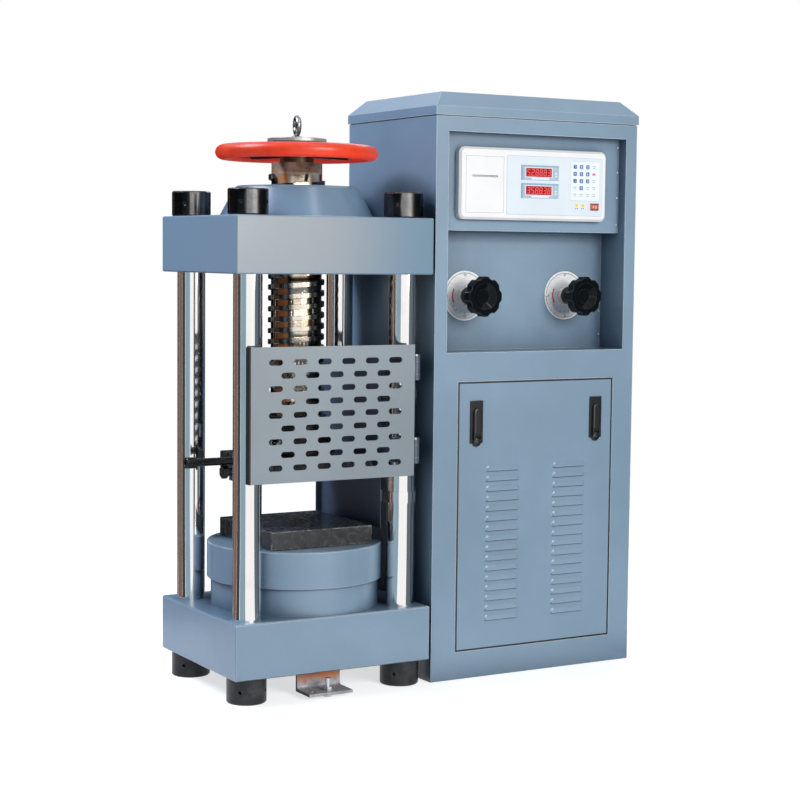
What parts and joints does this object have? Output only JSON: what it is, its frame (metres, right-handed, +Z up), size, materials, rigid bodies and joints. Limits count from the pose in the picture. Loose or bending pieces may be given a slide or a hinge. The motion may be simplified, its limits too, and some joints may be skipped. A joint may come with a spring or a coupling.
{
  "type": "compression testing machine",
  "caption": "Hydraulic compression testing machine: column load frame with a hand-driven screw and a ram, beside a cabinet with a display, valve knobs and oil supply.",
  "frame": {"origin": "on the floor, under the middle of the machine's overall plan", "axes": "+X from the load frame towards the cabinet, +Y from front to back, +Z up"},
  "size_m": [1.0116, 0.4074, 1.25],
  "materials": {
    "blue_grey_paint": "semi-gloss, fine orange peel",
    "guard_paint": "semi-gloss",
    "polished_steel": "ground and polished",
    "blackened_steel": "oily black",
    "worn_steel": "oiled, brown patina",
    "bare_steel": "bright turned",
    "bronze": "turned",
    "red_paint": "gloss",
    "rubber": "matt",
    "raw_bracket": "rusty mill scale",
    "white_plastic": "satin",
    "window_plastic": "satin, dark red insets",
    "key_plastic": "matt",
    "red_plastic": "gloss",
    "dial_aluminium": "brushed",
    "black_bakelite": "gloss",
    "black_lock": "satin",
    "motor_paint": "matt",
    "paper": "matt"
  },
  "bodies": {
    "frame": {"base_beam": "blue_grey_paint", "top_beam": "blue_grey_paint", "columns": "polished_steel", "column_nuts": "blackened_steel", "nut_housing": "blue_grey_paint", "screw_nut": "bronze", "cylinder": "blue_grey_paint", "ram_seal": "rubber", "guard_clamps": "guard_paint", "guard_hinge_pins": "bare_steel", "side_guard_plate": "blue_grey_paint", "side_guard_clips": "guard_paint", "floor_bracket": "raw_bracket", "bracket_bolt": "bare_steel", "cabinet_shell": "blue_grey_paint", "cabinet_rear_panel": "blue_grey_paint", "cabinet_floor": "blue_grey_paint", "cabinet_cap": "blue_grey_paint", "recess_liner": "blue_grey_paint", "console_panel": "blue_grey_paint", "display_housing": "white_plastic", "display_windows": "window_plastic", "keypad_keys": "key_plastic", "dial_plates": "dial_aluminium", "valve_block": "bare_steel", "oil_tank": "blue_grey_paint", "oil_tank_lid": "blue_grey_paint", "drive_motor": "motor_paint", "oil_pump": "motor_paint", "oil_pipes": "bare_steel"},
    "head": {"ball_seat": "blackened_steel"},
    "screw": {"lead_screw": "worn_steel", "handwheel_rim": "red_paint", "handwheel_spider": "bare_steel", "wheel_lock_plate": "bare_steel", "lifting_eye": "bare_steel"},
    "platen": {"upper_platen": "blackened_steel", "platen_ball": "bare_steel", "hanger_screws": "blackened_steel", "stay_block": "blackened_steel", "stay_rod": "blackened_steel", "stay_bolt": "blackened_steel"},
    "ram": {"ram": "bare_steel", "ram_cap": "blue_grey_paint", "centre_pin": "bare_steel", "lower_platen": "blackened_steel"},
    "guard": {"guard_panel": "guard_paint", "guard_edge_trim": "rubber", "guard_hinge_leaves": "guard_paint"},
    "feed_knob": {"feed_valve_knob": "black_bakelite"},
    "return_knob": {"return_valve_knob": "black_bakelite"},
    "door": {"door_panel": "blue_grey_paint", "door_lock_plates": "black_lock"},
    "left_lock": {"left_lock_spindle": "black_lock"},
    "right_lock": {"right_lock_spindle": "black_lock"},
    "left_handle": {"left_lock_handle": "black_lock"},
    "right_handle": {"right_lock_handle": "black_lock"},
    "printer_flap": {"printer_door": "white_plastic"},
    "paper": {"paper_roll": "paper"},
    "rocker": {"rocker_switch": "red_plastic"}
  },
  "joints": [
    {"name": "head_lift", "type": "slide", "parent": "frame", "child": "head", "axis": [0, 0, 1], "range_m": [-0.0455, 0.2905]},
    {"name": "wheel_turn", "type": "hinge", "parent": "head", "child": "screw", "pos_m": [-0.25275, -0.00325, 1.148], "axis": [0, 0, 1], "range_deg": [-704.35, 4539.13]},
    {"name": "platen_tilt", "type": "hinge", "parent": "head", "child": "platen", "pos_m": [-0.25275, -0.00325, 0.448], "axis": [0, 1, 0], "range_deg": [-2, 2]},
    {"name": "ram_rise", "type": "slide", "parent": "frame", "child": "ram", "axis": [0, 0, 1], "range_m": [0, 0.025]},
    {"name": "guard_swing", "type": "hinge", "parent": "frame", "child": "guard", "pos_m": [-0.07075, -0.19475, 0.587], "axis": [0, 0, 1], "range_deg": [0, 100]},
    {"name": "feed_valve_turn", "type": "hinge", "parent": "frame", "child": "feed_knob", "pos_m": [0.11125, -0.17675, 0.8205], "axis": [0, -1, 0], "range_deg": [0, 270]},
    {"name": "return_valve_turn", "type": "hinge", "parent": "frame", "child": "return_knob", "pos_m": [0.37425, -0.17675, 0.8205], "axis": [0, -1, 0], "range_deg": [0, 270]},
    {"name": "door_tilt", "type": "hinge", "parent": "frame", "child": "door", "pos_m": [0.24595, -0.17875, 0.0617], "axis": [1, 0, 0], "range_deg": [0, 35]},
    {"name": "left_lock_turn", "type": "hinge", "parent": "door", "child": "left_lock", "pos_m": [0.09005, -0.18475, 0.523], "axis": [0, -1, 0], "range_deg": [0, 90]},
    {"name": "right_lock_turn", "type": "hinge", "parent": "door", "child": "right_lock", "pos_m": [0.40185, -0.18475, 0.523], "axis": [0, 1, 0], "range_deg": [0, 90]},
    {"name": "left_handle_swing", "type": "hinge", "parent": "left_lock", "child": "left_handle", "pos_m": [0.09005, -0.18475, 0.523], "axis": [1, 0, 0], "range_deg": [0, 60]},
    {"name": "right_handle_swing", "type": "hinge", "parent": "right_lock", "child": "right_handle", "pos_m": [0.40185, -0.18475, 0.523], "axis": [1, 0, 0], "range_deg": [0, 60]},
    {"name": "printer_door_swing", "type": "hinge", "parent": "frame", "child": "printer_flap", "pos_m": [0.10855, -0.17175, 0.999], "axis": [1, 0, 0], "range_deg": [0, 90]},
    {"name": "paper_roll_spin", "type": "hinge", "parent": "frame", "child": "paper", "pos_m": [0.10855, -0.14725, 1.036], "axis": [1, 0, 0], "continuous": true},
    {"name": "rocker_press", "type": "hinge", "parent": "frame", "child": "rocker", "pos_m": [0.39375, -0.16775, 1.0163], "axis": [0, 0, 1], "range_deg": [0, 12]}
  ],
  "couplings": [
    {"joint": "head_lift", "follows": "wheel_turn", "m_per_rad": 0.0036606}
  ]
}
